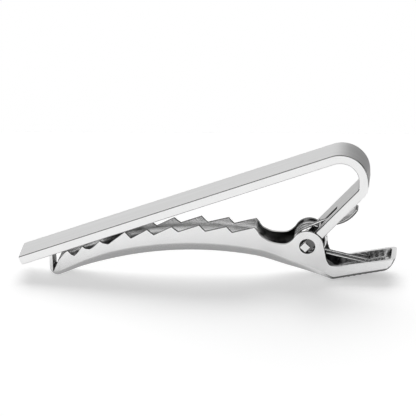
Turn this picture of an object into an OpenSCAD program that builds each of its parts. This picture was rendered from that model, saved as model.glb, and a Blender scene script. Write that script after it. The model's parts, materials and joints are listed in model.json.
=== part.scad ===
// Tie clip: a folded steel bar that hinges in the ears of a toothed sheet jaw and is held shut by
// a coil spring. Millimetres. X runs from the bar's tip to the thumb tray, Y runs across the clip
// and Z is up from the table, on which the jaw stands with its nose and its heel.

/* [Bar] */
// Width of the bar and of the leg
bar_w = 6; // [5.7:0.1:6.1]
// Thickness of the bar
bar_t = 1.5; // [1.4:0.05:1.6]
// Length of the straight bar, from the big bend to the square tip
bar_len = 53.4; // [50:0.1:57]
// Slope of the closed bar, in degrees
bar_slope = 19.15; // [18.5:0.05:20]
// Inner radius of the big bend at the back
bend_r = 2.9; // [2.6:0.1:3.3]
// Height of the upright run, from the knee's outer corner to the big bend
riser_len = 1.8; // [1.5:0.05:2.5]
// Inner radius of the knee between the upright run and the leg
knee_r = 1; // [0.6:0.1:1.4]

/* [Leg] */
// Slope of the leg, in degrees
leg_slope = 46.5; // [45:0.5:48]
// Distance along the leg from the hinge axis to the knee's outer corner
leg_len = 13.85; // [13:0.05:15]
// Distance from the hinge axis to the leg's outer face
leg_out = 0.9; // [0.8:0.01:0.92]
// Distance along the leg from the hinge axis to the square shoulders
shoulder_len = 3.05; // [3.05:0.01:3.15]
// Distance from the hinge axis to the ends of the two prongs
prong_len = 0.8; // [0.7:0.05:1]
// Width of one prong, across the clip
prong_w = 0.55; // [0.45:0.05:0.6]
// Gap between a prong and the ear beside it
prong_gap = 0.1; // [0.06:0.01:0.15]
// Depth of the notch between the prongs, past the shoulders
notch_depth = 0.55; // [0.5:0.01:0.6]
// Side of the square peg on each prong
peg_side = 1.16; // [1.1:0.02:1.18]
// Radius that the peg's four corners are turned down to
peg_r = 0.8; // [0.7:0.05:0.8]
// Distance that a peg's end stays inside the ear's outer face
peg_sink = 0.05; // [0.02:0.01:0.1]

/* [Spring slot and keeper] */
// Distance along the leg from the hinge axis to the slot's near end
slot_start = 4.05; // [4:0.01:4.06]
// Length of the slot
slot_len = 3.8; // [3.7:0.05:4]
// Width of the slot
slot_w = 1.1; // [0.9:0.05:1.2]
// Distance of the slot's middle from the clip's middle, towards the front
slot_off = 0.95; // [0.85:0.05:1.05]
// Thickness of the keeper's strip
keeper_t = 0.42; // [0.35:0.01:0.5]
// Width of the keeper's strip
keeper_w = 2.2; // [1.9:0.1:2.5]
// Outer radius of the keeper's curve
keeper_r = 5.1; // [4.8:0.1:5.4]
// Height of the keeper's crown over the leg's outer face
keeper_h = 1.5; // [1.45:0.01:1.55]
// Distance along the leg from the hinge axis to the keeper's crown
keeper_crown = 8.6; // [8.5:0.05:8.8]
// Length of the keeper past its crown
keeper_tip = 1.8; // [1.2:0.05:2]

/* [Jaw] */
// Thickness of the jaw's sheet
sheet_t = 0.5; // [0.45:0.01:0.55]
// Height of the hinge axis over the table
hinge_h = 5.78; // [5.7:0.02:5.9]
// Distance from the hinge axis to the front of the nose lip
nose_len = 41.2; // [40.5:0.1:42]
// Distance from the hinge axis back to the heel
heel_len = 4.3; // [4.1:0.1:4.6]
// Distance from the hinge axis to the end of the thumb tray
tail_len = 14.34; // [13.5:0.02:16]
// Slope of the arched web at the nose and at the heel, in degrees
arch_slope = 23.2; // [22:0.1:24]
// Slope of the thumb tray, in degrees
tail_slope = 11.2; // [10:0.1:12]
// Outer radius of the nose and of the heel, where the jaw stands on the table
foot_r = 1.1; // [0.9:0.05:1.3]
// Width of the jaw at the nose lip
nose_w = 3.9; // [3.6:0.1:4.1]
// Width of the jaw at the teeth
teeth_w = 4.4; // [4.2:0.1:4.6]
// Distance from the hinge axis to where the walls start to widen towards the ears
flare_len = 9.5; // [8:0.1:12]
// Clear width between the two ears
ear_gap = 5.2; // [5.15:0.01:5.3]
// Distance from the hinge axis to the front of the thumb tray
tray_len = 5; // [4.8:0.1:6]
// Width of the thumb tray at its front
tray_front_w = 5.3; // [5.1:0.1:5.6]
// Width of the thumb tray at its end
tray_end_w = 5.7; // [5.4:0.1:5.9]
// Outer radius of the jaw's lower corners along the teeth
corner_r = 1.2; // [0.9:0.05:1.4]
// Outer radius of the tray's lower corners
tray_corner_r = 0.7; // [0.65:0.05:0.85]

/* [Teeth and ears] */
// Distance from the front of the nose lip back to the first tooth's tip
first_back = 3; // [2.9:0.05:3.2]
// Distance from the first tip to the last tip
teeth_len = 30.05; // [29.5:0.05:30.3]
// Height of the tallest tooth's tip over the table
tooth_top = 9.06; // [8.8:0.02:9.2]
// Distance from a tip back to the bottom of its gullet
tooth_run = 1.05; // [0.9:0.05:1.15]
// Drop from a tip to its gullet, at the deepest tooth
tooth_drop = 1.08; // [0.8:0.02:1.2]
// Gap between the closed bar and what it closes on
bite_gap = 0.04; // [0.03:0.01:0.1]
// Depth of the dip in the rim between the teeth and the ears
dip_depth = 2.5; // [2.2:0.05:2.7]
// Radius of the ears
ear_r = 2.5; // [2.4:0.01:2.52]
// Half length of the flat stretch of wall that each ear stands in
ear_flat = 2.7; // [2.6:0.05:2.8]
// Radius of the hole in each ear
hole_r = 1.28; // [1.26:0.01:1.32]
// Distance from the hinge axis back to the middle of the hole
hole_dx = 0.37; // [0.34:0.01:0.38]
// Distance from the hinge axis up to the middle of the hole
hole_dz = 0.21; // [0.18:0.01:0.23]
// Distance from the hinge axis back to the corner between ear and tray
throat_len = 3.6; // [3.5:0.05:3.7]
// Height of the tray's rim over the table at that corner
throat_h = 2; // [1.9:0.05:2.2]
// Radius of the rim in that corner
throat_r = 1.5; // [1.2:0.05:1.7]
// Height of the tray's end wall
end_h = 1.96; // [1.8:0.02:2.2]
// Outward lean of the tray's end wall, in degrees
end_lean = 24; // [20:0.5:28]
// Outer radius between the tray's floor and its end wall
end_r = 0.9; // [0.7:0.05:1.1]
// Height at which the side walls start behind the nose lip
vee_h = 0.8; // [0.7:0.05:1]
// Width of the notch behind the nose lip, at that height
vee_gap = 0.1; // [0.05:0.01:0.2]

/* [Spring] */
// Diameter of the spring's wire
wire_d = 0.45; // [0.4:0.01:0.46]
// Radius of the coil, to the middle of the wire
coil_r = 2.45; // [2.35:0.01:2.48]
// Distance from the hinge axis back to the middle of the coil
coil_dx = 0.69; // [0.66:0.01:0.72]
// Distance from the hinge axis up to the middle of the coil
coil_dz = 0.32; // [0.3:0.01:0.34]
// Distance from one turn to the next
coil_pitch = 1.08; // [1:0.01:1.12]
// Distance of the coil's first turn from the clip's middle, towards the front
coil_front = 1.25; // [1.2:0.01:1.35]
// Slope at which the front arm leaves the coil, in degrees
arm_slope = 23; // [22.5:0.1:23.5]
// Distance along the leg from the hinge axis to the front arm's end
arm_end = 9.8; // [9.6:0.05:9.9]
// Distance along the leg from the hinge axis to the arm's bend behind the slot
arm_exit = 7.58; // [7.5:0.02:7.6]
// Angle between the leg and the arm's run through the slot, in degrees
arm_cross = 34.8; // [34:0.2:36]
// Gap between the spring and the faces that it bears on
bear_gap = 0.1; // [0.1:0.01:0.14]
// Bend radius of the front arm
arm_bend_r = 0.9; // [0.7:0.05:1]
// Angle below the horizontal at which the rear arm leaves the coil, in degrees
rear_leave = 72; // [70:1:74]
// Fall of the rear arm towards the tray, in degrees
rear_slope = 13.5; // [12.5:0.1:14.5]
// Bend radius where the rear arm leaves the coil
rear_bend_r = 1.5; // [1.2:0.05:1.7]
// Distance from the hinge axis back to the end of the rear arm's loop
loop_len = 10.15; // [9.5:0.05:10.5]
// Radius of the rear arm's loop, to the middle of the wire
loop_r = 0.615; // [0.55:0.005:0.65]
// Distance from the hinge axis back to the loose end of the rear arm
loose_len = 3.15; // [3.1:0.05:4]

/* [Hidden] */

// Distance that cuts run past the faces they cut
overrun = 1;
// Facets of round parts, steps of the bar's bends and of a rounded corner, sides and rings of the
// spring's wire
$fn = 64;
bend_steps = 20;
knee_steps = 8;
corner_steps = 4;
wire_sides = 6;
turn_rings = 8;
loop_rings = 6;
bend_rings = 3;
full_turns = 2;
gap_steps = 4;

// Place of each tip, its height and the drop behind it, as shares of the row's length, of the
// tallest tip's height and of the deepest drop
tooth_shares = [
    [0, 1, 0.88], [0.082, 1, 0.6], [0.174, 1, 0.66], [0.309, 1, 1], [0.431, 0.916, 0.72],
    [0.558, 0.971, 0.75], [0.705, 1, 0.95], [0.85, 0.988, 0.85]
];
// Height of the last tip, which the dip follows
last_tip_share = 0.97;
// Place and depth of the dip's points, as shares of its length and depth
dip_shares = [
    [0, 0], [0.075, 0.2], [0.15, 0.5], [0.28, 0.74], [0.43, 0.9], [0.62, 0.99], [0.8, 1], [0.93, 0.97]
];
// Where a gullet's steep side ends, as shares of the gullet's run and drop
gullet_shares = [0.33, 0.7];
// Points of the side walls' front edge, as shares of its length and height
vee_shares = [[0, 0], [0.32, 0.43], [0.5, 0.62], [0.83, 0.88]];

// Direction at an angle in the side view, and the direction of a vector
function dir(angle) = [cos(angle), sin(angle)];
function unit(v) = v / norm(v);

// Where the line through p along d meets the line through q along e
function cross_2d(a, b) = a.x * b.y - a.y * b.x;
function meet(p, d, q, e) = p + d * cross_2d(q - p, e) / cross_2d(d, e);

// Arc of radius r that rounds the corner b of the path from a to c
function rounded(a, b, c, r, steps) =
    let (
        u = unit(a - b),
        v = unit(c - b),
        half = acos(u * v) / 2,
        mid = b + unit(u + v) * r / sin(half),
        e = unit(b + u * r / tan(half) - mid)
    )
    [for (i = [0:steps]) let (f = (180 - 2 * half) * i / steps) mid + r * (cos(f) * e - sin(f) * u)];

// Points along an arc from angle a to angle b
function arc(mid, r, a, b, steps) = [for (i = [0:steps]) mid + r * dir(a + (b - a) * i / steps)];

// Even places from a up to, but without, b
function between(a, b, n) = [for (i = [0:n - 1]) a + (b - a) * i / n];

// The side view has its x from the hinge axis and its height over the table
hinge = [0, hinge_h];
leg_u = dir(leg_slope);
leg_n = dir(leg_slope - 90);
bar_u = dir(180 + bar_slope);
bar_n = dir(90 + bar_slope);
function leg(along, out) = hinge + along * leg_u + out * leg_n;

// Corner points of the bar
knee_turn = 90 - leg_slope;
knee = leg(leg_len, leg_out);
knee_mid = [knee.x - knee_r - bar_t, knee.y + (knee_r + bar_t) * tan(knee_turn / 2)];
bend_mid = [knee.x - bend_r - bar_t, knee.y + riser_len];
tip_top = bend_mid + (bend_r + bar_t) * bar_n + bar_len * bar_u;
tip_low = bend_mid + bend_r * bar_n + bar_len * bar_u;
function bar_low(x) = tip_low.y + (x - tip_low.x) * tan(bar_slope);

// Sizes across the clip
prong_out = ear_gap / 2 - prong_gap;
prong_in = prong_out - prong_w;
ear_w = ear_gap + 2 * sheet_t;

// The origin is under the middle of the clip's length
place_x = -(tip_top.x + tail_len) / 2;

// Places along the jaw's underside
nose_x = foot_r - nose_len;
first_tip = nose_len - first_back;
arch_start = nose_x + foot_r * sin(arch_slope);
arch_end = heel_len - foot_r * sin(arch_slope);
tail_start = heel_len + foot_r * sin(tail_slope);
arch_x = (arch_start + arch_end) / 2;
arch_r = (arch_end - arch_start) / 2 / sin(arch_slope);
arch_low = foot_r * (1 - cos(arch_slope)) - arch_r * cos(arch_slope);
tail_low = foot_r * (1 - cos(tail_slope));

// Height of the underside at x, and the cosine of its slope there
function foot_low(dx) = foot_r - sqrt(max(0, foot_r * foot_r - dx * dx));
function web_low(x) =
    x < arch_start ? foot_low(x - nose_x)
    : x < arch_end ? arch_low + sqrt(arch_r * arch_r - pow(x - arch_x, 2))
    : x < tail_start ? foot_low(x - heel_len)
    : tail_low + (x - tail_start) * tan(tail_slope);
function web_cos(x) =
    x < arch_start ? 1 - foot_low(x - nose_x) / foot_r
    : x < arch_end ? (web_low(x) - arch_low) / arch_r
    : x < tail_start ? 1 - foot_low(x - heel_len) / foot_r
    : cos(tail_slope);

// Width and corner radius along the jaw
widths = [
    [-nose_len, nose_w],
    [-first_tip, teeth_w],
    [-flare_len, teeth_w],
    [hole_dx - ear_flat, ear_w],
    [hole_dx + ear_flat, ear_w],
    [tray_len, tray_front_w],
    [tail_len, tray_end_w]
];
corners = [
    [hole_dx + ear_flat, corner_r],
    [tray_len, tray_corner_r]
];
wall_top = tooth_top + overrun;

// Places of the jaw's sections
jaw_xs = concat(
    between(sheet_t / 2 - nose_len, nose_x, 3),
    [nose_x],
    between(arch_start, -first_tip, 2),
    between(-first_tip, -flare_len, 10),
    between(-flare_len, hole_dx - ear_flat, 3),
    between(hole_dx - ear_flat, hole_dx + ear_flat, 3),
    [hole_dx + ear_flat],
    between(arch_end, heel_len, 2),
    [heel_len, tail_start, tray_len, tail_len + overrun]
);
lip_xs = concat(between(-nose_len, nose_x, 5), [nose_x]);
end_xs = [tray_len, tail_len + overrun];

// Points of the rim
ear_mid = hinge + [hole_dx, hole_dz];
lip_top = bar_low(-nose_len) - bite_gap;
vee_foot = [sheet_t + vee_gap - nose_len, vee_h];
function tip(place_share, height_share) =
    let (x = place_share * teeth_len - first_tip)
    [x, min(height_share * tooth_top, bar_low(x) - bite_gap)];
first_point = tip(0, 1);
last_point = tip(1, last_tip_share);
dip_len = ear_mid.x - ear_r - last_point.x;
throat = [throat_len, throat_h];
throat_away = norm(throat - ear_mid);
throat_angle = atan2(ear_mid.y - throat.y, ear_mid.x - throat.x) - asin(ear_r / throat_away);
ear_touch = throat + sqrt(pow(throat_away, 2) - pow(ear_r, 2)) * dir(throat_angle);
end_foot_x = tail_len - end_h * tan(end_lean);
end_foot = [end_foot_x, web_low(end_foot_x)];
end_top = [tail_len, end_foot.y + end_h];
end_arc = rounded(end_top, end_foot, [tail_start, tail_low], end_r, corner_steps);

// Side view points of the spring
coil_mid = hinge + [coil_dx, coil_dz];
coil_start = 90 + arm_slope;
coil_turn = 360 * (full_turns + 1) - rear_leave - coil_start;
coil_count = round(turn_rings * coil_turn / 360);
arm_out = leg_out + bear_gap + wire_d / 2;
arm_bend = leg(arm_exit, arm_out);
coil_in = coil_mid + coil_r * dir(coil_start);
arm_corner = meet(coil_in, dir(arm_slope), arm_bend, dir(leg_slope - arm_cross));
coil_out = coil_mid + coil_r * dir(-rear_leave);
rear_y = coil_pitch * coil_turn / 360 - coil_front;
rear_u = dir(-rear_slope);
loop_x = loop_len - wire_d / 2;
floor_lift = (sheet_t + bear_gap + wire_d / 2) / cos(tail_slope);
loop_mid = [loop_x, web_low(loop_x) + floor_lift] - loop_r * rear_u;
rear_corner = meet(coil_out, dir(90 - rear_leave), loop_mid, rear_u);
loose_end = loop_mid + rear_u * (loose_len - loop_mid.x) / rear_u.x;

// Puts a side view point at a depth across the clip
function at(p, y) = [place_x + p.x, y, p.y];

// Middle line of the spring's wire, from the end of the front arm to the loose end
wire_path = concat(
    [at(leg(arm_end, arm_out), -slot_off)],
    rounded(at(leg(arm_end, arm_out), -slot_off), at(arm_bend, -slot_off), at(arm_corner, -slot_off),
        arm_bend_r, bend_rings),
    rounded(at(arm_bend, -slot_off), at(arm_corner, -slot_off), at(coil_in, -coil_front),
        arm_bend_r, bend_rings),
    [
        for (i = [0:coil_count])
            let (turn = coil_turn * i / coil_count)
            at(coil_mid + coil_r * dir(coil_start + turn), coil_pitch * turn / 360 - coil_front)
    ],
    rounded(at(coil_out, rear_y), at(rear_corner, rear_y), at(loop_mid, rear_y),
        rear_bend_r, bend_rings),
    [
        for (i = [0:loop_rings])
            let (f = 180 * i / loop_rings)
            at(loop_mid + loop_r * sin(f) * rear_u, rear_y - loop_r * (1 - cos(f)))
    ],
    [at(loose_end, rear_y - 2 * loop_r)]
);

// Directions of the wire at its rings, and a side direction that doesn't twist from ring to ring
wire_last = len(wire_path) - 1;
function wire_dir(i) = unit(wire_path[min(i + 1, wire_last)] - wire_path[max(i - 1, 0)]);
function square_to(v, d) = unit(v - (v * d) * d);
function wire_sides_from(i, before) =
    let (now = square_to(before, wire_dir(i)))
    i == wire_last ? [now] : concat([now], wire_sides_from(i + 1, now));
wire_side = wire_sides_from(0, [0, 1, 0]);

// Least gap of the spring to itself, on points of its middle line that lie over four wires apart
wire_points = [
    for (k = [0:wire_last - 1])
        each between(wire_path[k], wire_path[k + 1], gap_steps)
];
wire_steps = [for (k = [1:len(wire_points) - 1]) norm(wire_points[k] - wire_points[k - 1])];
function run_lengths(i, sum) =
    i == len(wire_steps) ? [sum] : concat([sum], run_lengths(i + 1, sum + wire_steps[i]));
wire_runs = run_lengths(0, 0);
spring_gap = min([
    for (a = [0:len(wire_points) - 1], b = [a + 1:len(wire_points) - 1])
        if (wire_runs[b] - wire_runs[a] > 4 * wire_d)
            norm(wire_points[a] - wire_points[b])
]) - wire_d;
echo(str("Least gap of the spring to itself: ", spring_gap, " mm"));

// Draws a side view outline across the clip's width w
module across(w) {
    translate([place_x, w / 2, 0])
        rotate([90, 0, 0])
            linear_extrude(w)
                children();
}

// Moves to the hinge axis, with x along the leg and z towards its inner face
module at_leg() {
    translate([place_x, 0, hinge_h])
        rotate([0, -leg_slope, 0])
            children();
}

// Closed skin over rings that have the same even number of points, each ring clockwise as seen
// from the first one
module skin(rings) {
    count = len(rings[0]);
    last = len(rings) - 1;
    sides = [
        for (k = [0:last - 1], i = [0:count - 1])
            let (a = k * count + i, b = k * count + (i + 1) % count)
            each [[a, a + count, b + count], [a, b + count, b]]
    ];
    caps = [
        for (i = [0:count / 2 - 2])
            let (j = count - 1 - i, end = last * count)
            each [
                [i, i + 1, j - 1], [i, j - 1, j],
                [end + i, end + j - 1, end + i + 1], [end + i, end + j, end + j - 1]
            ]
    ];
    polyhedron([for (ring = rings) each ring], concat(sides, caps));
}

// Outline of the jaw's section at x, moved inward by t, from the front rim round the bottom
function outline(x, t) =
    let (
        half = lookup(x, widths) / 2,
        r = lookup(x, corners),
        low = web_low(x),
        thick = t > 0 ? t / web_cos(x) : 0,
        curve = [
            for (i = [0:corner_steps])
                let (a = 90 * i / corner_steps)
                [half - r + (r - t) * cos(a), low + r - (r - thick) * sin(a)]
        ],
        side = concat([[half - t, wall_top]], curve)
    )
    concat(
        [for (p = side) [place_x + x, -p.x, p.y]],
        [for (i = [len(side) - 1:-1:0]) [place_x + x, side[i].x, side[i].y]]
    );
function reverse(points) = [for (i = [len(points) - 1:-1:0]) points[i]];

// Sheet channel with the walls left high
module channel() {
    skin([for (x = jaw_xs) concat(outline(x, 0), reverse(outline(x, sheet_t)))]);
}

// The channel's outer form as a block
module block(xs) {
    skin([for (x = xs) outline(x, 0)]);
}

// Side view of what stays of the channel, but for the round ears: lip, teeth, dip and tray
module rim_side() {
    polygon(concat(
        [
            [-nose_len - overrun, -overrun],
            [-nose_len - overrun, lip_top],
            [sheet_t - nose_len, lip_top],
            [sheet_t - nose_len, vee_h]
        ],
        [
            for (s = vee_shares)
                vee_foot + [s.x * (first_point.x - vee_foot.x), s.y * (first_point.y - vee_foot.y)]
        ],
        [
            for (s = tooth_shares)
                let (top = tip(s[0], s[1]), drop = s[2] * tooth_drop)
                each [
                    top,
                    top + [gullet_shares[0] * tooth_run, -gullet_shares[1] * drop],
                    top + [tooth_run, -drop]
                ]
        ],
        [for (s = dip_shares) last_point + [s.x * dip_len, -s.y * dip_depth]],
        [ear_mid],
        [ear_touch],
        rounded(ear_touch, throat, end_top, throat_r, corner_steps),
        [end_top],
        end_arc,
        [[end_arc[corner_steps].x, -overrun]]
    ));
}

// Side view of the space that the nose lip fills
module lip_side() {
    translate([-nose_len - overrun, 0])
        square([overrun + sheet_t, lip_top + overrun]);
}

// Side view of the space that the tray's end wall fills
module end_side() {
    inner = end_foot - [sheet_t / cos(end_lean), 0];
    polygon([
        [inner.x, 0],
        inner,
        inner + (end_h + overrun) * [tan(end_lean), 1],
        [tail_len + 2 * overrun, inner.y + end_h + overrun],
        [tail_len + 2 * overrun, 0]
    ]);
}

// Side view of the bent strip, from the bar's tip to the ends of the prongs
module bar_side() {
    polygon(concat(
        [tip_low, tip_top],
        arc(bend_mid, bend_r + bar_t, 90 + bar_slope, 0, bend_steps),
        arc(knee_mid, knee_r + bar_t, 0, -knee_turn, knee_steps),
        [leg(-prong_len, leg_out), leg(-prong_len, leg_out - bar_t)],
        arc(knee_mid, knee_r, -knee_turn, 0, knee_steps),
        arc(bend_mid, bend_r, 0, 90 + bar_slope, bend_steps)
    ));
}

// One strip of steel: the bar, the big bend, the upright run, the knee and the leg, whose end is
// cut down to two prongs with pegs
module bar() {
    cut_t = bar_t + 2 * overrun;
    color([0.80, 0.81, 0.83])
        difference() {
            union() {
                difference() {
                    across(bar_w)
                        bar_side();
                    at_leg()
                        for (y = [-prong_out - bar_w, prong_out])
                            translate([-prong_len - overrun, y, -leg_out - overrun])
                                cube([prong_len + overrun + shoulder_len, bar_w, cut_t]);
                }
                at_leg()
                    pegs();
            }
            at_leg() {
                translate([-prong_len - overrun, -prong_in, -leg_out - overrun])
                    cube([prong_len + overrun + shoulder_len + notch_depth, 2 * prong_in, cut_t]);
                translate([slot_start, -slot_off - slot_w / 2, -leg_out - overrun])
                    cube([slot_len, slot_w, cut_t]);
            }
        }
}

// The square pegs with turned corners, joined by what the notch then takes away
module pegs() {
    reach = ear_w - 2 * peg_sink;
    intersection() {
        rotate([90, 0, 0])
            cylinder(r = peg_r, h = reach, center = true);
        cube([peg_side, reach, peg_side], center = true);
    }
}

// One stamping of sheet: nose lip, toothed channel, ears and thumb tray
module jaw() {
    color([0.78, 0.79, 0.81])
        difference() {
            intersection() {
                union() {
                    channel();
                    intersection() {
                        block(lip_xs);
                        across(2 * nose_w)
                            lip_side();
                    }
                    intersection() {
                        block(end_xs);
                        across(2 * tray_end_w)
                            end_side();
                    }
                }
                union() {
                    across(2 * ear_w)
                        rim_side();
                    across(2 * ear_w)
                        translate(ear_mid)
                            circle(ear_r);
                }
            }
            translate(at(ear_mid, 0))
                rotate([90, 0, 0])
                    cylinder(r = hole_r, h = 2 * ear_w, center = true);
        }
}

// One unbroken wire: front arm through the slot, coil, and rear arm with its loop in the tray
module spring() {
    color([0.62, 0.63, 0.66])
        skin([
            for (i = [0:wire_last])
                let (side = wire_side[i], other = cross(wire_dir(i), side))
                [
                    for (j = [0:wire_sides - 1])
                        let (d = dir(360 * j / wire_sides))
                        wire_path[i] + wire_d / 2 * (d.x * side + d.y * other)
                ]
        ]);
}

// Curved strip on the leg's outer face, which covers the slot and the end of the front arm
module spring_keeper() {
    mid = leg(keeper_crown, leg_out + keeper_h - keeper_r);
    tip_angle = leg_slope - 90 + asin(keeper_tip / keeper_r);
    root = keeper_crown - keeper_r;
    color([0.74, 0.75, 0.78])
        across(keeper_w)
            intersection() {
                translate(mid)
                    difference() {
                        circle(keeper_r);
                        circle(keeper_r - keeper_t);
                    }
                polygon([
                    leg(root, leg_out),
                    meet(mid, dir(tip_angle), leg(root, leg_out), leg_u),
                    mid + (keeper_r + overrun) * dir(tip_angle),
                    leg(root, leg_out + keeper_h + overrun)
                ]);
            }
}

bar();
jaw();
spring();
spring_keeper();
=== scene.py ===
import json
import math

import bmesh
import bpy
from mathutils import Matrix, Vector


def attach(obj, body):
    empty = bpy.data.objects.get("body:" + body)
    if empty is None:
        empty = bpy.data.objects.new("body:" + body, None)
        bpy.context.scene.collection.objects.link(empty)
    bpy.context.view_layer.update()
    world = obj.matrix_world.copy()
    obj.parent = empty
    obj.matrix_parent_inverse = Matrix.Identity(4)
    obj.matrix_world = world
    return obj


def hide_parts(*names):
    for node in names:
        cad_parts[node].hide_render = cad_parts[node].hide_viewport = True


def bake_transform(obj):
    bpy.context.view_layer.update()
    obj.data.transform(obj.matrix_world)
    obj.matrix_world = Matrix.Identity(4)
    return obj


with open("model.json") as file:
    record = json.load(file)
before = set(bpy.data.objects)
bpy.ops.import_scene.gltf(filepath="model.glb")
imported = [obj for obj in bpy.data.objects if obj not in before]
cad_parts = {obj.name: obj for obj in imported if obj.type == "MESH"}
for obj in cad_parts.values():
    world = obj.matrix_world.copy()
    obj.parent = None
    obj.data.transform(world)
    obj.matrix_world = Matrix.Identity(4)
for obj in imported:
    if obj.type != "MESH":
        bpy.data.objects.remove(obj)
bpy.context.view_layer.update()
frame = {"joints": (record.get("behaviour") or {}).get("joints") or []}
bpy.ops.object.select_all(action="DESELECT")

# Camera: the clip is seen from its front side, a little from above and from the tray's end, with a
# long lens. The angles and the distance were fitted to the photograph's straight edges.
mm = 0.001
hinge = Vector(frame["joints"][0]["pos_m"])
view_turn = math.radians(6.3766)
view_rise = math.radians(21.5687)
view_roll = math.radians(1.8915)
view_distance = 463.51 * mm
aim_ahead = 15.56 * mm
aim_height = 11.174 * mm
focal_pixels = 2913.1
photo_pixels = 416
film_width = 36
nearest = 10 * mm
furthest = 10

aim = Vector((hinge.x - aim_ahead, 0, aim_height))
ahead = Vector((
    -math.sin(view_turn) * math.cos(view_rise),
    math.cos(view_turn) * math.cos(view_rise),
    -math.sin(view_rise),
))
level = Vector((math.cos(view_turn), math.sin(view_turn), 0))
upward = level.cross(ahead)
right = level * math.cos(view_roll) - upward * math.sin(view_roll)
top = upward * math.cos(view_roll) + level * math.sin(view_roll)
bpy.ops.object.camera_add(location=aim - ahead * view_distance)
camera = bpy.context.active_object
camera.name = "camera"
camera.rotation_euler = Matrix((right, top, -ahead)).transposed().to_euler()
camera.data.sensor_fit = "HORIZONTAL"
camera.data.sensor_width = film_width
camera.data.lens = focal_pixels / photo_pixels * film_width
camera.data.clip_start = nearest
camera.data.clip_end = furthest
bpy.context.scene.camera = camera
bpy.context.scene.view_settings.view_transform = "Standard"

# Table: a plain white top. It takes the clip's shadow, and its own faint light brings it up to the
# white of the background where no shadow falls.
table_size = 0.13
table_colour = 0.68
table_glow = 0.46


class Field:
    """A number that varies over a surface: arithmetic on it adds Math nodes."""

    def __init__(self, surface, socket):
        self.surface = surface
        self.socket = socket

    def maths(self, operation, first, second=0.0):
        made = self.surface.node("ShaderNodeMath", {"operation": operation}, {0: first, 1: second})
        return Field(self.surface, made.outputs[0])

    def __add__(self, other):
        return self.maths("ADD", self, other)

    __radd__ = __add__

    def __sub__(self, other):
        return self.maths("SUBTRACT", self, other)

    def __rsub__(self, other):
        return self.maths("SUBTRACT", other, self)

    def __mul__(self, other):
        return self.maths("MULTIPLY", self, other)

    __rmul__ = __mul__

    def __gt__(self, other):
        return self.maths("GREATER_THAN", self, other)

    def __abs__(self):
        return self.maths("ABSOLUTE", self)

    def larger(self, other):
        return self.maths("MAXIMUM", self, other)


class Surface:
    """The node tree of a material or of the world, with one way to add a node."""

    def __init__(self, owner):
        owner.use_nodes = True
        self.tree = owner.node_tree
        self.tree.nodes.clear()

    def node(self, kind, settings=None, sockets=None):
        """Adds a node. A ramp's stops are places and greys; a socket takes a value or a link."""
        made = self.tree.nodes.new(kind)
        for name, value in (settings or {}).items():
            if name == "stops":
                ramp = made.color_ramp
                while len(ramp.elements) < len(value):
                    ramp.elements.new(1)
                for element, (stop, tone) in zip(ramp.elements, value):
                    element.position = stop
                    element.color = grey(tone)
            else:
                setattr(made, name, value)
        for name, value in (sockets or {}).items():
            socket = made.inputs[name]
            if isinstance(value, Field):
                value = value.socket
            if isinstance(value, bpy.types.NodeSocket):
                self.tree.links.new(value, socket)
            else:
                socket.default_value = value
        return made

    def axes(self, kind):
        """X, Y and Z of a texture coordinate, such as the place on the object."""
        place = self.node("ShaderNodeTexCoord")
        parts = self.node("ShaderNodeSeparateXYZ", None, {0: place.outputs[kind]})
        return [Field(self, socket) for socket in parts.outputs]


def grey(value):
    """An even grey as a colour."""
    return (value, value, value, 1)


bpy.ops.mesh.primitive_plane_add(size=table_size)
table = bpy.context.active_object
table.name = "table"
table.data.materials.append(bpy.data.materials.new("white_table"))
table_look = Surface(table.data.materials[0])
paint = table_look.node("ShaderNodeBsdfDiffuse", None, {"Color": grey(table_colour)})
rays = table_look.node("ShaderNodeLightPath")
seen = Field(table_look, rays.outputs["Is Camera Ray"]).larger(rays.outputs["Is Glossy Ray"])
glow = table_look.node("ShaderNodeEmission", None, {
    "Color": grey(1),
    "Strength": seen * table_glow,
})
both = table_look.node("ShaderNodeAddShader", None, {0: paint.outputs[0], 1: glow.outputs[0]})
table_look.node("ShaderNodeOutputMaterial", None, {"Surface": both.outputs[0]})

# Card: a grey card with a rounded front lies on the table under the clip and behind it. Only
# polished metal sees it. It is a painted shadow: its greys stand in for the clip's shadow on the
# table as the metal mirrors it, and give the rounded lower edges their soft grey band.
card_front = -12.5
card_middle = -4
card_half = 35
card_square = 24
card_back = 65
card_wide = 65
card_lift = 0.02
card_angles = range(180, 361, 5)
# Painted shadow: grey under and behind the clip, and nearly white at the card's front rim.
card_shadow_greys = [
    (0, 0.4), (0.05, 0.4), (0.12, 0.24), (0.3, 0.26), (0.45, 0.38), (0.85, 0.42), (1, 0.85)
]


def sine(angle):
    """Sine of an angle in degrees."""
    return math.sin(math.radians(angle))


def cosine(angle):
    """Cosine of an angle in degrees."""
    return math.cos(math.radians(angle))


def disc(name, points):
    """A filled disc is added, and its rim is shaped to points in metres."""
    bpy.ops.object.select_all(action="DESELECT")
    bpy.ops.mesh.primitive_circle_add(vertices=len(points), radius=mm, fill_type="NGON")
    piece = bpy.context.active_object
    piece.name = name
    for vertex, point in zip(piece.data.vertices, points):
        vertex.co = point
    return piece


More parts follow.
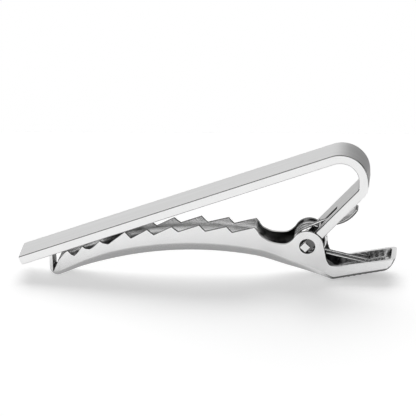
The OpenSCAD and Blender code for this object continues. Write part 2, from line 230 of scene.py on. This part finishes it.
card_depth = card_square - card_front
card_outline = [
    (card_middle + card_half * cosine(angle), card_square + card_depth * sine(angle))
    for angle in card_angles
]
card_outline += [(card_wide, card_square), (card_wide, card_back)]
card_outline += [(-card_wide, card_back), (-card_wide, card_square)]
card = disc("painted_shadow_card", [Vector((x, y, card_lift)) * mm for x, y in card_outline])
card.visible_camera = False
card.visible_diffuse = False
card.visible_shadow = False
card.data.materials.append(bpy.data.materials.new("painted_shadow_card"))
card_look = Surface(card.data.materials[0])
card_x, card_y = card_look.axes("Object")[:2]
along = card_x * (1 / card_half / mm) - card_middle / card_half
inward = card_square / card_depth - card_y * (1 / card_depth / mm)
spread = (along * along + inward * inward) * (inward > 0)
fade = card_look.node("ShaderNodeValToRGB", {"stops": card_shadow_greys}, {0: spread})
plain = card_look.node("ShaderNodeEmission", None, {"Color": fade.outputs[0], "Strength": 1.0})
card_look.node("ShaderNodeOutputMaterial", None, {"Surface": plain.outputs[0]})

# Light: a soft lamp above and behind throws the clip's shadow to the front, in a room that is white
# to the eye. Polished metal sees a wall that is darker to the right, a bright panel and a dark
# ceiling over it, a bright front and a dark strip on each side, which draw the lines along edges.
lamp_level = 2.35
lamp_softness = math.radians(45)
lamp_tilt = math.radians(-45)
lamp_roll = math.radians(-5)
room_level = 0.3
wall_left = 0.82
wall_right = 0.33
wall_foot = 0.6
panel_level = 1.1
ceiling_level = 0.05
front_level = 0.85
strip_level = 0.05
wall_fade = (0.25, -0.3)
foot_fade = (0.02, -0.06)
front_fade = (0.0, -0.1)
panel_start, panel_end = (0.55, 0.65), (0.95, 1.05)
ceiling_start, ceiling_end = (0.95, 1.1), (2.4, 2.6)
strip_start, strip_end = (0.52, 0.62), (0.92, 0.96)


def rising(value, limits):
    """Share that rises softly from 0 to 1 while the value goes from one limit to the other."""
    made = value.surface.node("ShaderNodeMapRange", {"interpolation_type": "SMOOTHSTEP"}, {
        0: value,
        1: limits[0],
        2: limits[1],
        3: 0.0,
        4: 1.0,
    })
    return Field(value.surface, made.outputs[0])


def band(value, start, end):
    """Share that is 1 between two soft ends."""
    return rising(value, start) * (1 - rising(value, end))


def towards(first, second, share):
    """The first value where the share is 0, and the second where it is 1."""
    return first + share * (second - first)


bpy.ops.object.light_add(type="SUN", rotation=(lamp_tilt, lamp_roll, 0))
lamp = bpy.context.active_object
lamp.name = "soft_lamp"
lamp.data.energy = lamp_level
lamp.data.angle = lamp_softness
lamp.visible_glossy = False

world = bpy.data.worlds.new("white_room")
bpy.context.scene.world = world
room = Surface(world)
aside, behind, above = room.axes("Generated")
height = above.maths("ARCTAN2", above, behind)
in_ceiling = band(height, ceiling_start, ceiling_end)
in_front = rising(behind, front_fade) * (1 - in_ceiling)
mirrored = towards(wall_left, wall_foot, rising(above, foot_fade))
mirrored = towards(wall_right, mirrored, rising(aside, wall_fade))
mirrored = towards(mirrored, panel_level, band(height, panel_start, panel_end))
mirrored = towards(mirrored, front_level, in_front)
mirrored = towards(mirrored, ceiling_level, in_ceiling)
mirrored = towards(mirrored, strip_level, band(abs(aside), strip_start, strip_end))
rays = room.node("ShaderNodeLightPath")
seen = Field(room, rays.outputs["Is Camera Ray"]).larger(rays.outputs["Is Transmission Ray"])
shown = towards(room_level, mirrored, Field(room, rays.outputs["Is Glossy Ray"]))
shown = towards(shown, 1, seen)
back = room.node("ShaderNodeBackground", None, {"Color": grey(1), "Strength": shown})
room.node("ShaderNodeOutputWorld", None, {"Surface": back.outputs[0]})

# Bar: one strip of plated steel, 6 mm by 1.5 mm, bent round at the back, down, and forward again
# into the leg. The leg's end is cut down to two prongs with square pegs, and it has a slot.
bar_w = 6
bar_t = 1.5
bar_len = 53.4
bar_slope = 19.15
bend_r = 2.9
bend_steps = 56
riser_len = 1.97
knee_r = 1
knee_steps = 20
leg_slope = 46.5
leg_len = 13.72
leg_out = 1.02
shoulder_len = 3.05
prong_len = 0.8
prong_out = 2.5
prong_in = 1.95
notch_depth = 0.55
peg_side = 1.16
peg_r = 0.8
peg_out = 3.05
peg_root = 0.1
peg_overrun = 1
slot_start = 4.05
slot_len = 3.8
slot_w = 1.1
slot_y = -0.95
cut_start = -3
cut_half = 2
round_steps = 48
edge_bevel = 0.2
cut_bevel = 0.05
sharp_angle = 50
side_facing = 0.9
relief_height = 0.02
cut_finish = {
    "grain": (4000, 400, 4000), "tone_spread": 0.06, "gloss_spread": 0.06, "relief": 0.1
}


def tangent(angle):
    """Tangent of an angle in degrees."""
    return math.tan(math.radians(angle))


def heading(angle):
    """Direction at an angle in degrees in the side view, as x and z."""
    return Vector((cosine(angle), 0, sine(angle)))


def spot(x, z, y=0):
    """A place in metres from mm behind the hinge, over the table and across the clip."""
    return Vector((hinge.x + x * mm, y * mm, z * mm))


hinge_spot = Vector((0, 0, hinge.z / mm))
leg_along = heading(leg_slope)
leg_away = heading(leg_slope - 90)
bar_along = heading(180 + bar_slope)
bar_up = heading(90 + bar_slope)


def leg_at(along, out):
    """A place in the side view from the distances along the leg and out of it."""
    return hinge_spot + along * leg_along + out * leg_away


knee_turn = 90 - leg_slope
knee = leg_at(leg_len, leg_out)
knee_rise = (knee_r + bar_t) * tangent(knee_turn / 2)
knee_mid = knee + Vector((-knee_r - bar_t, 0, knee_rise))
bend_mid = knee + Vector((-bend_r - bar_t, 0, riser_len))
tip_top = bend_mid + (bend_r + bar_t) * bar_up + bar_len * bar_along
tip_low = tip_top - bar_t * bar_up


def arc(mid, radius, start, end, steps):
    """Points from one angle to another round a middle, in the side view."""
    return [mid + radius * heading(start + (end - start) * i / steps) for i in range(steps + 1)]


def ring(mid, radius, count):
    """Points all round a middle, in the side view."""
    return arc(mid, radius, 0, 360 - 360 / count, count - 1)


def prism(name, outline, low_y, high_y):
    """A disc is shaped to a side view outline in mm and drawn out across the clip."""
    piece = disc(name, [spot(point.x, point.z, low_y) for point in outline])
    across_clip = (0, (high_y - low_y) * mm, 0)
    bpy.ops.object.mode_set(mode="EDIT")
    bpy.ops.mesh.select_all(action="SELECT")
    bpy.ops.mesh.extrude_region_move(TRANSFORM_OT_translate={"value": across_clip})
    bpy.ops.mesh.select_all(action="SELECT")
    bpy.ops.mesh.normals_make_consistent(inside=False)
    bpy.ops.object.mode_set(mode="OBJECT")
    return piece


def pick(piece):
    """Selects one piece alone, for the next operator."""
    bpy.ops.object.select_all(action="DESELECT")
    bpy.context.view_layer.objects.active = piece
    piece.select_set(True)


def combine(piece, tool, how):
    """Cuts, joins or trims one piece with another, which is used up."""
    pick(piece)
    step = piece.modifiers.new(how.lower(), "BOOLEAN")
    step.operation = how
    step.solver = "EXACT"
    step.material_mode = "TRANSFER"
    step.object = tool
    bpy.ops.object.modifier_apply(modifier=step.name)
    bpy.data.objects.remove(tool)


def break_edges(piece, width, segments, angle=35, finish=-1):
    """Rounds all sharp edges a little, as tumbling and plating leave them."""
    pick(piece)
    step = piece.modifiers.new("edges", "BEVEL")
    step.width = width * mm
    step.segments = segments
    step.limit_method = "ANGLE"
    step.angle_limit = math.radians(angle)
    step.material = finish
    bpy.ops.object.modifier_apply(modifier=step.name)


def smooth(piece):
    """Shades bends smooth and keeps broad flats flat."""
    pick(piece)
    bpy.ops.object.shade_smooth_by_angle(angle=math.radians(sharp_angle))
    step = piece.modifiers.new("flats", "WEIGHTED_NORMAL")
    step.keep_sharp = True
    bpy.ops.object.modifier_apply(modifier=step.name)


def coat(piece, *finishes):
    """Adds finishes to a piece, whose faces then take them by number."""
    for finish in finishes:
        piece.data.materials.append(finish)


def leg_block(name, start, end, low_y, high_y, low_out, high_out):
    """A block with its sides along the leg."""
    corners = [(start, low_out), (end, low_out), (end, high_out), (start, high_out)]
    return prism(name, [leg_at(along, out) for along, out in corners], low_y, high_y)


def steel(name, tone, roughness, grain, tone_spread=0.03, gloss_spread=0.04, relief=0.02):
    """Steel whose tone and gloss vary a little along the lines of its finish.

    The tone is a grey level, or a function that makes the colour with nodes of the material.
    """
    material = bpy.data.materials.new(name)
    look = Surface(material)
    place = look.node("ShaderNodeTexCoord")
    stretched = look.node("ShaderNodeMapping", None, {
        "Vector": place.outputs["Object"],
        "Scale": grain,
    })
    lines = look.node("ShaderNodeTexNoise", None, {
        "Vector": stretched.outputs[0],
        "Scale": 1.0,
        "Detail": 3.0,
    })
    waver = Field(look, lines.outputs["Fac"])
    streaks = look.node("ShaderNodeMix", {"data_type": "RGBA"}, {
        0: waver,
        6: grey(1 - tone_spread),
        7: grey(1 + tone_spread),
    })
    colour = look.node("ShaderNodeMix", {"data_type": "RGBA", "blend_type": "MULTIPLY"}, {
        0: 1.0,
        6: tone(look) if callable(tone) else grey(tone),
        7: streaks.outputs[2],
    })
    ridges = look.node("ShaderNodeBump", None, {
        "Height": waver,
        "Strength": relief,
        "Distance": relief_height * mm,
    })
    metal = look.node("ShaderNodeBsdfPrincipled", None, {
        "Base Color": colour.outputs[2],
        "Metallic": 1.0,
        "Roughness": waver * gloss_spread + (roughness - gloss_spread / 2),
        "Normal": ridges.outputs[0],
    })
    look.node("ShaderNodeOutputMaterial", None, {"Surface": metal.outputs[0]})
    return material


brushed = steel(
    "brushed_plate", tone=0.79, roughness=0.3, grain=(60, 1800, 60),
    tone_spread=0.1, gloss_spread=0.08, relief=0.3)
polished = steel("polished_plate", tone=0.82, roughness=0.07, grain=(300, 300, 300))
# Painted shade: the faces that cuts leave (the leg's slot, notch and steps, the ears' holes, the
# keeper's sides) are painted near black, as the slot and the holes lie in shadow.
cut_shade_steel = steel("cut_faces_painted_shade", tone=0.15, roughness=0.25, **cut_finish)
bar_outline = (
    [tip_low, tip_top]
    + arc(bend_mid, bend_r + bar_t, 90 + bar_slope, 0, bend_steps)
    + arc(knee_mid, knee_r + bar_t, 0, -knee_turn, knee_steps)
    + [leg_at(-prong_len, leg_out), leg_at(-prong_len, leg_out - bar_t)]
    + arc(knee_mid, knee_r, -knee_turn, 0, knee_steps)
    + arc(bend_mid, bend_r, 0, 90 + bar_slope, bend_steps)
)
bar = prism("bar_strip", bar_outline, -bar_w / 2, bar_w / 2)
coat(bar, brushed, polished)
for face in bar.data.polygons:
    face.material_index = 1 if abs(face.normal.y) > side_facing else 0
break_edges(bar, edge_bevel, segments=4, finish=1)
slot_left = slot_y - slot_w / 2
for name, start, end, low_y, high_y in (
    ("near_step", cut_start, shoulder_len, -bar_w, -prong_out),
    ("far_step", cut_start, shoulder_len, prong_out, bar_w),
    ("notch", cut_start, shoulder_len + notch_depth, -prong_in, prong_in),
    ("slot", slot_start, slot_start + slot_len, slot_left, slot_left + slot_w),
):
    cut = leg_block(name, start, end, low_y, high_y, -cut_half, cut_half)
    coat(cut, cut_shade_steel)
    combine(bar, cut, "DIFFERENCE")
peg_half = peg_side / 2
for low_y, high_y in ((-peg_out, -prong_in - peg_root), (prong_in + peg_root, peg_out)):
    peg = leg_block("peg", -peg_half, peg_half, low_y, high_y, -peg_half, peg_half)
    coat(peg, polished)
    turned_outline = ring(hinge_spot, peg_r, round_steps)
    turned = prism("turned_peg", turned_outline, low_y - peg_overrun, high_y + peg_overrun)
    combine(peg, turned, "INTERSECT")
    combine(bar, peg, "UNION")
break_edges(bar, cut_bevel, segments=2, angle=sharp_angle, finish=1)
smooth(bar)
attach(bar, "bar_body")
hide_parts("bar")

# Jaw: one plated stamping of 0.5 mm steel sheet. Its two toothed walls and its web are one channel,
# whose web is turned up into a lip in front and ends in the thumb tray behind the round ears. The
# bar's pegs turn in the ears' holes.
sheet_t = 0.5
nose_len = 41.2
heel_len = 4.3
foot_r = 1.1
arch_slope = 23.2
tail_slope = 11.2
tail_len = 14.34
end_lean = 24
end_h = 1.96
end_r = 1.0
lean_start = 8
tops = [(3, 10.2), (6, 5)]
widths = [
    (-41.2, 3.9), (-38.2, 4.4), (-8.2, 4.4), (-2.33, 6.2), (3.07, 6.2), (5, 5.3), (14.34, 5.7)
]
corners = [(-40, 0.9), (-30, 1.9), (-9.5, 1.9), (-2.33, 1.7), (3.07, 1.3), (5, 0.75)]
corner_step = 15
sharp_corner = 1.2
corner_sink = 0.42
nose_steps = 4
arch_steps = 140
heel_steps = 8
tray_steps = 60
floor_steps = 12
turn_step = 10
knurl_start = 5.9
knurl_end = 12.6
knurl_pitch = 0.9
knurl_depth = 0.18
knurl_slope = 0.7
hole_r = 1.28
hole_mid = hinge_spot + Vector((0.37, 0, 0.21))
ear_r = 2.5
ear_steps = 60
ear_half = 4
tool_half = 5
rim_bevel = 0.06
bite_gap = 0.04
wall_start = 0.8
rim_overrun = 1
vee_edge = [(-40.60, 0.80), (-39.83, 2.46), (-39.38, 3.16), (-38.60, 4.12)]
teeth = [
    (-38.16, 4.42), (-37.62, 3.83), (-37.10, 3.60), (-36.64, 4.00), (-35.73, 5.22), (-35.31, 4.85),
    (-34.60, 4.76), (-34.01, 5.05), (-32.90, 6.17), (-32.45, 5.82), (-31.50, 5.65), (-28.80, 7.75),
    (-28.38, 7.24), (-27.85, 6.68), (-25.20, 8.17), (-24.72, 7.72), (-24.15, 7.28), (-21.25, 8.70),
    (-20.76, 8.24), (-20.22, 7.84), (-16.85, 9.00), (-16.38, 8.46), (-15.87, 7.96), (-12.50, 8.80),
    (-12.08, 8.28), (-11.62, 7.80), (-8.05, 8.70)
]
dip = [
    (-7.60, 8.12), (-7.15, 7.37), (-6.38, 6.84), (-5.56, 6.44), (-4.4, 6.22), (-3.4, 6.2),
    (-2.75, 6.4), (-2.15, 6.84), (-1.6, 7.40)
]
under_ear = [(-1.0, 5.8), (1.2, 5.8)]
throat = [
    (2.84, 6.38), (3.09, 5.07), (3.21, 4.39), (3.31, 3.81), (3.66, 2.95), (4.1, 2.56), (4.9, 2.40)
]
tray_rim = [(6.11, 2.43), (7.78, 2.72), (9.99, 3.08), (14.34, 3.78)]
past_tray = (17, 4.2)
# Painted light and shade inside the channel: dark in the lip, in one stretch between the teeth,
# down the dip and under the ears; bright on the lit walls along the teeth and at the tray's end.
inside_light_and_shade = [
    (-41, 0.2), (-40.6, 0.25), (-40.3, 0.97), (-33.4, 0.97), (-32.6, 0.35), (-30.4, 0.35),
    (-29.4, 0.95), (-7.6, 0.97), (-6.4, 0.9), (-5, 0.7), (-3.5, 0.5),
    (-2, 0.25), (3, 0.2), (6, 0.55), (11.5, 0.65), (12.5, 0.9), (14, 0.9)
]
# Painted shade on the cut rims: near black along the front teeth and round the ears, and a light
# tone over the dip and the tray.
rim_shade_tones = [
    (-41, 0.08), (-9, 0.08), (-7, 0.85), (-3.5, 0.85), (-2, 0.2), (4, 0.2), (6, 0.9), (14, 0.9)
]
# The underside behind the heel takes painted shade, from the plate's tone down to near black under
# the tray.
below_start = 2.4
below_facing = -0.3
underside_shade_tones = [(below_start, 0.8), (4.2, 0.15), (14.4, 0.15)]


def eased(table, x):
    """Value at x in a table of places and values, with soft steps between them."""
    if x <= table[0][0]:
        return table[0][1]
    for (a, low), (b, high) in zip(table, table[1:]):
        if x <= b:
            part = (x - a) / (b - a)
            return low + (high - low) * part * part * (3 - 2 * part)
    return table[-1][1]


nose_x = foot_r - nose_len
arch_half = (heel_len - nose_x) / 2 - foot_r * sine(arch_slope)
arch_x = (heel_len + nose_x) / 2
arch_r = arch_half / sine(arch_slope)
arch_low = foot_r - (arch_r + foot_r) * cosine(arch_slope)
end_foot_x = tail_len - end_h * tangent(end_lean)


def underside(x, inset):
    """Height of the web's lower face at x, or of the face that lies inset above it."""
    r = foot_r - inset
    if x < nose_x + r * sine(arch_slope):
        return foot_r - math.sqrt(max(0, r * r - (x - nose_x) ** 2))
    if x < heel_len - r * sine(arch_slope):
        return arch_low + math.sqrt((arch_r + inset) ** 2 - (x - arch_x) ** 2)
    start = heel_len + r * sine(tail_slope)
    if x < start:
        return foot_r - math.sqrt(r * r - (x - heel_len) ** 2)
    return foot_r - r * cosine(tail_slope) + (x - start) * tangent(tail_slope)


def knurl(x, y):
    """Depth of the knurl that is pressed into the tray's floor."""
    if x < knurl_start or x > knurl_end:
        return 0
    wave = math.cos(2 * math.pi * (x - knurl_start) / knurl_pitch)
    wave += math.cos(2 * math.pi * y / knurl_pitch)
    return knurl_depth * max(-1, min(1, wave * knurl_slope))


def section(x, inset):
    """The channel's outline at x: down the front wall, round below and up the rear wall."""
    end_x = end_foot_x - inset / cosine(end_lean)
    r = end_r - inset
    past = max(0, x - (end_x - r))
    drawn = r - math.sqrt(max(0, r * r - past * past))
    half = eased(widths, x) / 2 - inset - drawn
    corner = eased(corners, x) - inset
    foot = underside(x, inset)
    low = foot + drawn - corner_sink * max(0, corner + inset - sharp_corner)
    lean = tangent(end_lean) * eased([(lean_start, 0), (end_foot_x - end_r, 1)], x)
    flat = half - corner
    side = [(half, eased(tops, x) + inset)] + [
        (flat + corner * cosine(angle), low + corner - corner * sine(angle))
        for angle in range(0, 91, corner_step)
    ]
    floor = [flat * i / floor_steps for i in range(1 - floor_steps, floor_steps)]
    outline = [(-y, z) for y, z in side]
    outline += [(y, low - knurl(x, y)) for y in floor]
    outline += side[::-1]
    return [spot(x + (z - foot) * lean, z, y) for y, z in outline]


def places(inset):
    """Places of the sections, close together in the bends."""
    r = foot_r - inset
    turn = end_r - inset
    arch_start = nose_x + r * sine(arch_slope)
    arch_end = heel_len - r * sine(arch_slope)
    tail_start = heel_len + r * sine(tail_slope)
    turn_start = end_foot_x - inset / cosine(end_lean) - turn
    xs = [nose_x - r * cosine(angle) for angle in range(0, 90, turn_step)]
    for start, end, steps in (
        (nose_x, arch_start, nose_steps),
        (arch_start, arch_end, arch_steps),
        (arch_end, tail_start, heel_steps),
        (tail_start, turn_start, tray_steps),
    ):
        xs += [start + (end - start) * i / steps for i in range(steps)]
    return xs + [turn_start + turn * sine(angle) for angle in range(0, 91, turn_step)]


def loft(name, sections):
    """A disc is shaped to the first section and drawn on from each section to the next."""
    piece = disc(name, sections[0])
    bpy.ops.object.mode_set(mode="EDIT")
    bpy.ops.mesh.select_all(action="SELECT")
    mesh = bmesh.from_edit_mesh(piece.data)
    for section_points in sections[1:]:
        bpy.ops.mesh.extrude_region_move()
        mesh = bmesh.from_edit_mesh(piece.data)
        mesh.verts.ensure_lookup_table()
        moved = [vertex for vertex in mesh.verts if vertex.select]
        for vertex, point in zip(moved, section_points):
            vertex.co = point
        bmesh.update_edit_mesh(piece.data)
    bpy.ops.mesh.select_all(action="SELECT")
    bpy.ops.mesh.normals_make_consistent(inside=False)
    if bmesh.from_edit_mesh(piece.data).calc_volume(signed=True) < 0:
        bpy.ops.mesh.flip_normals()
    bpy.ops.object.mode_set(mode="OBJECT")
    return piece


def flowing(points, steps=5):
    """Soft curve through points of the rim."""
    ends = [points[0]] + points + [points[-1]]
    curve = []
    for a, b, c, d in zip(ends, ends[1:], ends[2:], ends[3:]):
        for i in range(steps):
            t = i / steps
            curve.append(tuple(
                0.5 * (2 * q + (r - p) * t + (2 * p - 5 * q + 4 * r - s) * t * t
                       + (3 * q - p - 3 * r + s) * t * t * t)
                for p, q, r, s in zip(a, b, c, d)
            ))
    return curve + [points[-1]]


def tone_along(stops):
    """Tone that changes along the clip, from a list of places in mm behind the hinge and tones."""
    start, end = stops[0][0], stops[-1][0]

    def tone(look):
        share = look.axes("Object")[0] * (1 / ((end - start) * mm))
        share = share - (hinge.x / mm + start) / (end - start)
        ramp = look.node("ShaderNodeValToRGB", {
            "stops": [((x - start) / (end - start), value) for x, value in stops],
        }, {0: share})
        return ramp.outputs[0]

    return tone


jaw = loft("jaw_sheet", [section(x, 0) for x in places(0)])
coat(jaw, steel("jaw_outside", tone=0.84, roughness=0.26, grain=(400, 400, 400)))
hollow = loft("jaw_hollow", [section(x, sheet_t) for x in places(sheet_t)])
# The inside takes painted light and shade along the clip.
coat(hollow, steel(
    "jaw_inside_painted_light", tone=tone_along(inside_light_and_shade), roughness=0.12, grain=(3500, 3500, 3500),
    tone_spread=0.06, gloss_spread=0.06, relief=0.12))
combine(jaw, hollow, "DIFFERENCE")

lip_top = tip_low.z + (-nose_len - tip_low.x) * tangent(bar_slope) - bite_gap
rim = (
    [(-nose_len - rim_overrun, -rim_overrun), (-nose_len - rim_overrun, lip_top)]
    + [(sheet_t - nose_len, lip_top), (sheet_t - nose_len, wall_start)]
    + flowing(vee_edge) + teeth + flowing(dip) + under_ear + flowing(throat + tray_rim)
    + [past_tray, (past_tray[0], -rim_overrun)]
)
keep = prism("rim", [Vector((x, 0, z)) for x, z in rim], -tool_half, tool_half)
# The rims take painted shade along the clip.
coat(keep, steel("rim_painted_shade", tone=tone_along(rim_shade_tones), roughness=0.2, **cut_finish))
ear = prism("ear", ring(hole_mid, ear_r, ear_steps), -ear_half, ear_half)
combine(keep, ear, "UNION")
combine(jaw, keep, "INTERSECT")
hole = prism("hole", ring(hole_mid, hole_r, round_steps), -tool_half, tool_half)
coat(hole, cut_shade_steel)
combine(jaw, hole, "DIFFERENCE")
break_edges(jaw, rim_bevel, segments=2, angle=sharp_angle, finish=0)
# Painted shade: the knurled underside facing the table is painted darker towards the tray.
coat(jaw, steel("knurled_underside_painted_shade", tone=tone_along(underside_shade_tones), roughness=0.22, **cut_finish))
for face in jaw.data.polygons:
    if face.center.x > hinge.x + below_start * mm and face.normal.z < below_facing:
        face.material_index = len(jaw.data.materials) - 1
smooth(jaw)
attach(jaw, "jaw_body")
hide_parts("jaw")

# Spring: one length of 0.45 mm spring steel wire, held by what it bears on. The front arm goes out
# through the leg's slot, the coil lies between the ears, and the rear arm runs back into the tray
# as a hairpin.
wire_d = 0.45
wire_roundness = 5
wire_bevel = 0.04
wire_end_angle = 60
merge_gap = 0.001
coil_r = 2.45
coil_mid = hinge_spot + Vector((0.69, 0, 0.32))
coil_pitch = 1.08
coil_front = 1.25
coil_rounds = 3
coil_steps = 120
arm_slope = 23
arm_end = 9.8
arm_exit = 7.58
arm_cross = 34.8
arm_bend_r = 0.9
bear_gap = 0.1
rear_leave = 72
rear_slope = 13.5
rear_bend_r = 1.5
loop_len = 10.15
loop_r = 0.615
loop_steps = 24
loose_len = 3.15
# Painted shade on the wire: dark where its faces turn out of the coil, bright on its sides.
wire_shade_stops = [(0, 0.3), (0.4, 0.3), (0.6, 0.97), (1, 0.97)]


def meet(p, d, q, e):
    """Where two lines of the side view meet."""
    gap = q - p
    return p + d * ((gap.x * e.z - gap.z * e.x) / (d.x * e.z - d.z * e.x))


def rounded(a, b, c, radius, steps=10):
    """Arc that rounds the corner b of the path from a to c."""
    u = (a - b).normalized()
    v = (c - b).normalized()
    half = math.acos(u.dot(v)) / 2
    mid = b + (u + v).normalized() * radius / math.sin(half)
    e = (b + u * radius / math.tan(half) - mid).normalized()
    turn = math.pi - 2 * half
    return [
        mid + radius * (math.cos(turn * i / steps) * e - math.sin(turn * i / steps) * u)
        for i in range(steps + 1)
    ]


def across(point, y):
    """The same place in the side view, at y across the clip."""
    return Vector((point.x, y, point.z))


def wire_painted_shade(look):
    """The wire is bright on its sides, and painted dark on the faces that turn out of the coil:
    painted shade that draws dark lines between the turns.
    """
    sideways = abs(look.axes("Normal")[1])
    return look.node("ShaderNodeValToRGB", {"stops": wire_shade_stops}, {0: sideways}).outputs[0]


arm_out = leg_out + bear_gap + wire_d / 2
arm_tip = across(leg_at(arm_end, arm_out), slot_y)
arm_bend = across(leg_at(arm_exit, arm_out), slot_y)
coil_start = 90 + arm_slope
coil_turn = coil_rounds * 360 - rear_leave - coil_start
coil_in = across(coil_mid + coil_r * heading(coil_start), -coil_front)
arm_corner = meet(coil_in, heading(arm_slope), arm_bend, heading(leg_slope - arm_cross))
arm_corner = across(arm_corner, slot_y)
rear_y = coil_pitch * coil_turn / 360 - coil_front
coil_out = coil_mid + coil_r * heading(-rear_leave)
rear_along = heading(-rear_slope)
loop_x = loop_len - wire_d / 2
floor_lift = (bear_gap + wire_d / 2) / cosine(tail_slope)
loop_mid = Vector((loop_x, 0, underside(loop_x, sheet_t) + floor_lift)) - loop_r * rear_along
rear_corner = meet(coil_out, heading(90 - rear_leave), loop_mid, rear_along)
loose_end = loop_mid + rear_along * ((loose_len - loop_mid.x) / rear_along.x)
rear_path = [across(point, rear_y) for point in (coil_out, rear_corner, loop_mid)]
wire = [arm_tip]
wire += rounded(arm_tip, arm_bend, arm_corner, arm_bend_r)
wire += rounded(arm_bend, arm_corner, coil_in, arm_bend_r)
for i in range(coil_steps + 1):
    turn = coil_turn * i / coil_steps
    coil_y = coil_pitch * turn / 360 - coil_front
    wire.append(across(coil_mid + coil_r * heading(coil_start + turn), coil_y))
wire += rounded(*rear_path, rear_bend_r)
for i in range(loop_steps + 1):
    angle = math.pi * i / loop_steps
    bend_point = loop_mid + loop_r * math.sin(angle) * rear_along
    wire.append(across(bend_point, rear_y - loop_r * (1 - math.cos(angle))))
wire.append(across(loose_end, rear_y - 2 * loop_r))

bpy.ops.object.select_all(action="DESELECT")
bpy.ops.curve.primitive_nurbs_path_add()
spring = bpy.context.active_object
spring.name = "coil_spring"
spring.data.splines.clear()
line = spring.data.splines.new("POLY")
line.points.add(len(wire) - 1)
for point, middle in zip(line.points, wire):
    point.co = (*spot(middle.x, middle.z, middle.y), 1)
spring.data.bevel_depth = wire_d / 2 * mm
spring.data.bevel_resolution = wire_roundness
spring.data.use_fill_caps = True
bpy.ops.object.convert(target="MESH")
spring = bpy.context.active_object
bpy.ops.object.mode_set(mode="EDIT")
bpy.ops.mesh.select_all(action="SELECT")
bpy.ops.mesh.remove_doubles(threshold=merge_gap * mm)
bpy.ops.mesh.normals_make_consistent(inside=False)
bpy.ops.object.mode_set(mode="OBJECT")
break_edges(spring, wire_bevel, segments=2, angle=wire_end_angle)
smooth(spring)
coat(spring, steel("spring_wire", tone=wire_painted_shade, roughness=0.06, grain=(2000, 2000, 2000)))
tuple(spot(0, 8.35, -1.25))
tuple(spot(0, 6.83, 1.79))
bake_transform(spring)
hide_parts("spring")

# Keeper: a short strip of thin steel sheet, curved and brazed to the leg's outer face over the
# slot, where it covers the end of the spring's front arm. Its plate is painted darker as shade, its
# cut sides and outer edge are painted near black as shade, and its inner edge keeps a lighter tone
# as a painted highlight.
keeper_t = 0.42
keeper_w = 2.2
keeper_r = 5.1
keeper_h = 1.38
keeper_crown = 8.6
keeper_tip = 1.25
keeper_steps = 14
keeper_bevel = 0.15
flat_side = 0.99
edge_facing = 0.3

keeper_in = keeper_r - keeper_t
keeper_mid = leg_at(keeper_crown, leg_out + keeper_h - keeper_r)
away = leg_slope - 90
tip_angle = away + math.degrees(math.asin(keeper_tip / keeper_r))
root_out = away - math.degrees(math.acos((keeper_r - keeper_h) / keeper_r))
root_in = away - math.degrees(math.acos((keeper_r - keeper_h) / keeper_in))
keeper_outline = (
    arc(keeper_mid, keeper_r, root_out, tip_angle, keeper_steps)
    + arc(keeper_mid, keeper_in, tip_angle, root_in, keeper_steps)
)
keeper = prism("slot_keeper", keeper_outline, -keeper_w / 2, keeper_w / 2)
# The keeper's plate tone is painted darker as shade.
keeper_painted_shade = steel("keeper_painted_shade", tone=0.6, roughness=0.15, grain=(800, 800, 800))
coat(keeper, keeper_painted_shade, cut_shade_steel, polished)
break_edges(keeper, keeper_bevel, segments=3, finish=1)
# Painted shade and highlight: dark sides and outer edge, a light inner edge.
for face in keeper.data.polygons:
    reach = face.center - spot(keeper_mid.x, keeper_mid.z, face.center.y / mm)
    if abs(face.normal.y) > flat_side:
        face.material_index = 1
    elif abs(face.normal.y) > edge_facing and face.normal.dot(reach) < 0:
        face.material_index = 2
smooth(keeper)
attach(keeper, "bar_body")
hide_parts("spring_keeper")
